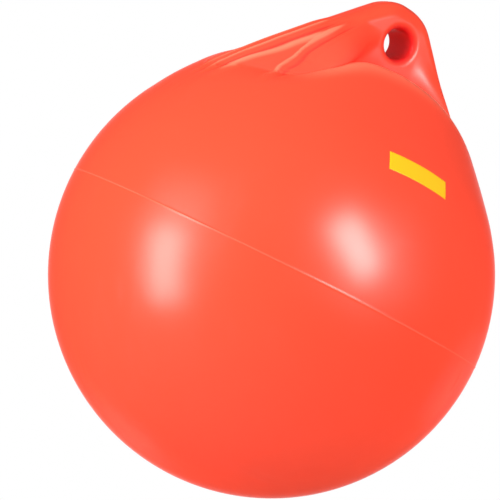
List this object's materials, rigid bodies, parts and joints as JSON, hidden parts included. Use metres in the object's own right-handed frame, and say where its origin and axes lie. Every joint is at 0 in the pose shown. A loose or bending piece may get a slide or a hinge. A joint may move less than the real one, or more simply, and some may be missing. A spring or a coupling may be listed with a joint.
{
  "type": "buoy ball",
  "caption": "Inflatable mooring buoy ball with a flattened moulded rope eye, a mould seam round its middle and pleats down the shoulders.",
  "frame": {"origin": "middle of the rope eye, on the tab's mid-plane", "axes": "+Z along the ball's axis, from the ball towards the tab's tip; +X across the width of the flat tab; +Y along the rope eye's hole, towards the side that carries the valve"},
  "size_m": [0.5014, 0.5014, 0.59],
  "materials": {
    "orange_vinyl": "satin-gloss moulded soft vinyl",
    "valve_rubber": "matt moulded rubber",
    "label_film": "smooth printed vinyl film, left bare"
  },
  "bodies": {
    "root": {"buoy_body": "orange_vinyl", "valve_insert": "valve_rubber", "label": "label_film"}
  },
  "joints": []
}
